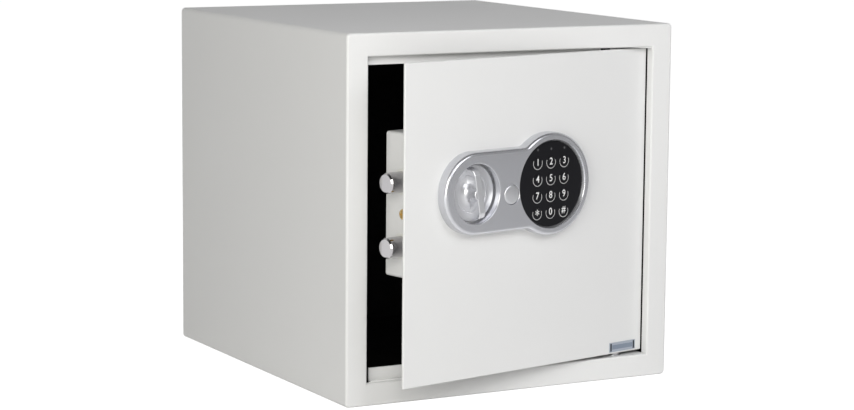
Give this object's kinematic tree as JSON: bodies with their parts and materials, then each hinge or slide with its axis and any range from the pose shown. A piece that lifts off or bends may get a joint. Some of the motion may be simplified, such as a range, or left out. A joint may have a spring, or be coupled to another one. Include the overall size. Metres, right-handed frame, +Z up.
{
  "type": "electronic safe",
  "caption": "White steel electronic safe with the door ajar, a round keypad, a turn knob in a silver escutcheon and round locking bolts.",
  "frame": {"origin": "middle of the underside of the body", "axes": "+Z up, -Y out of the front, +X to the right as seen from the front"},
  "size_m": [0.366, 0.4545, 0.36],
  "materials": {
    "white_paint": "satin powder coat",
    "silver_plastic": "satin silver",
    "steel": "zinc plated",
    "chrome": "polished",
    "brass": "plain",
    "black_plastic": "fine grain",
    "lining": "needle felt",
    "nylon": "plain",
    "copper_wire": "lacquered",
    "circuit_board": "solder mask",
    "lens": "clear dark red",
    "cell": "printed sleeve",
    "red_plastic": "plain",
    "cable_sleeve": "plain"
  },
  "bodies": {
    "body": {"body_shell": "white_paint", "rear_panel": "white_paint", "front_frame": "white_paint", "strike_channel": "white_paint", "hinge_plates": "white_paint", "hinge_bushes": "steel", "side_linings": "lining", "top_lining": "lining", "rear_lining": "lining", "floor_mat": "lining"},
    "door": {"door_panel": "white_paint", "hinge_post": "white_paint", "hinge_pins": "chrome", "label_plate": "silver_plastic", "escutcheon": "silver_plastic", "keypad_fascia": "black_plastic", "indicator_lenses": "lens", "keypad_board": "circuit_board", "key_switches": "steel", "spindle_bush": "nylon", "lock_barrel": "chrome", "lock_nut": "steel", "lock_chassis": "steel", "guide_stud": "steel", "bolt_bushes": "nylon", "lock_cover": "white_paint", "cover_screws": "brass", "solenoid_frame": "steel", "solenoid_coil": "copper_wire", "plunger_spring": "steel", "battery_holder": "black_plastic", "batteries": "cell", "control_board": "circuit_board", "keypad_cable": "cable_sleeve"},
    "knob_set": {"knob": "silver_plastic", "knob_spindle": "steel", "crank": "steel"},
    "bolt_set": {"bolt_carrier": "steel", "upper_bolt": "chrome", "lower_bolt": "chrome", "carrier_screws": "steel"},
    "plunger": {"solenoid_plunger": "chrome"},
    "rotor": {"lock_rotor": "brass", "lock_cam": "steel"},
    "cap": {"lock_cap": "silver_plastic"},
    "lid": {"battery_lid": "white_paint"},
    "reset": {"reset_button": "red_plastic"},
    "button_1": {"key_1": "black_plastic"},
    "button_2": {"key_2": "black_plastic"},
    "button_3": {"key_3": "black_plastic"},
    "button_4": {"key_4": "black_plastic"},
    "button_5": {"key_5": "black_plastic"},
    "button_6": {"key_6": "black_plastic"},
    "button_7": {"key_7": "black_plastic"},
    "button_8": {"key_8": "black_plastic"},
    "button_9": {"key_9": "black_plastic"},
    "button_star": {"key_star": "black_plastic"},
    "button_0": {"key_0": "black_plastic"},
    "button_hash": {"key_hash": "black_plastic"}
  },
  "joints": [
    {"name": "door_swing", "type": "hinge", "parent": "body", "child": "door", "pos_m": [0.1285, -0.1855, 0.18], "axis": [0, 0, 1], "range_deg": [-12, 88]},
    {"name": "knob_turn", "type": "hinge", "parent": "door", "child": "knob_set", "pos_m": [-0.07123, -0.23664, 0.2076], "axis": [0.2079, -0.9781, 0], "range_deg": [0, 80]},
    {"name": "bolt_throw", "type": "slide", "parent": "door", "child": "bolt_set", "axis": [-0.9781, -0.2079, 0], "range_m": [0, 0.017]},
    {"name": "plunger_lift", "type": "slide", "parent": "door", "child": "plunger", "axis": [0, 0, 1], "range_m": [0, 0.003], "stiffness_N_per_m": 120, "springref_m": -0.002, "deforming": ["plunger_spring"]},
    {"name": "rotor_turn", "type": "hinge", "parent": "door", "child": "rotor", "pos_m": [-0.0278, -0.22741, 0.2033], "axis": [0.2079, -0.9781, 0], "range_deg": [0, 90]},
    {"name": "cap_off", "type": "slide", "parent": "door", "child": "cap", "axis": [0.2079, -0.9781, 0], "range_m": [0, 0.015]},
    {"name": "lid_off", "type": "slide", "parent": "door", "child": "lid", "axis": [-0.2079, 0.9781, 0], "range_m": [0, 0.012]},
    {"name": "reset_press", "type": "slide", "parent": "door", "child": "reset", "axis": [0.2079, -0.9781, 0], "range_m": [0, 0.0012], "stiffness_N_per_m": 400, "springref_m": -0.0005},
    {"name": "press_1", "type": "slide", "parent": "door", "child": "button_1", "axis": [-0.2079, 0.9781, 0], "range_m": [0, 0.0007], "stiffness_N_per_m": 400, "springref_m": -0.0005},
    {"name": "press_2", "type": "slide", "parent": "door", "child": "button_2", "axis": [-0.2079, 0.9781, 0], "range_m": [0, 0.0007], "stiffness_N_per_m": 400, "springref_m": -0.0005},
    {"name": "press_3", "type": "slide", "parent": "door", "child": "button_3", "axis": [-0.2079, 0.9781, 0], "range_m": [0, 0.0007], "stiffness_N_per_m": 400, "springref_m": -0.0005},
    {"name": "press_4", "type": "slide", "parent": "door", "child": "button_4", "axis": [-0.2079, 0.9781, 0], "range_m": [0, 0.0007], "stiffness_N_per_m": 400, "springref_m": -0.0005},
    {"name": "press_5", "type": "slide", "parent": "door", "child": "button_5", "axis": [-0.2079, 0.9781, 0], "range_m": [0, 0.0007], "stiffness_N_per_m": 400, "springref_m": -0.0005},
    {"name": "press_6", "type": "slide", "parent": "door", "child": "button_6", "axis": [-0.2079, 0.9781, 0], "range_m": [0, 0.0007], "stiffness_N_per_m": 400, "springref_m": -0.0005},
    {"name": "press_7", "type": "slide", "parent": "door", "child": "button_7", "axis": [-0.2079, 0.9781, 0], "range_m": [0, 0.0007], "stiffness_N_per_m": 400, "springref_m": -0.0005},
    {"name": "press_8", "type": "slide", "parent": "door", "child": "button_8", "axis": [-0.2079, 0.9781, 0], "range_m": [0, 0.0007], "stiffness_N_per_m": 400, "springref_m": -0.0005},
    {"name": "press_9", "type": "slide", "parent": "door", "child": "button_9", "axis": [-0.2079, 0.9781, 0], "range_m": [0, 0.0007], "stiffness_N_per_m": 400, "springref_m": -0.0005},
    {"name": "press_star", "type": "slide", "parent": "door", "child": "button_star", "axis": [-0.2079, 0.9781, 0], "range_m": [0, 0.0007], "stiffness_N_per_m": 400, "springref_m": -0.0005},
    {"name": "press_0", "type": "slide", "parent": "door", "child": "button_0", "axis": [-0.2079, 0.9781, 0], "range_m": [0, 0.0007], "stiffness_N_per_m": 400, "springref_m": -0.0005},
    {"name": "press_hash", "type": "slide", "parent": "door", "child": "button_hash", "axis": [-0.2079, 0.9781, 0], "range_m": [0, 0.0007], "stiffness_N_per_m": 400, "springref_m": -0.0005}
  ],
  "couplings": [
    {"joint": "knob_turn", "follows": "bolt_throw", "rad_per_m": 82.133}
  ]
}
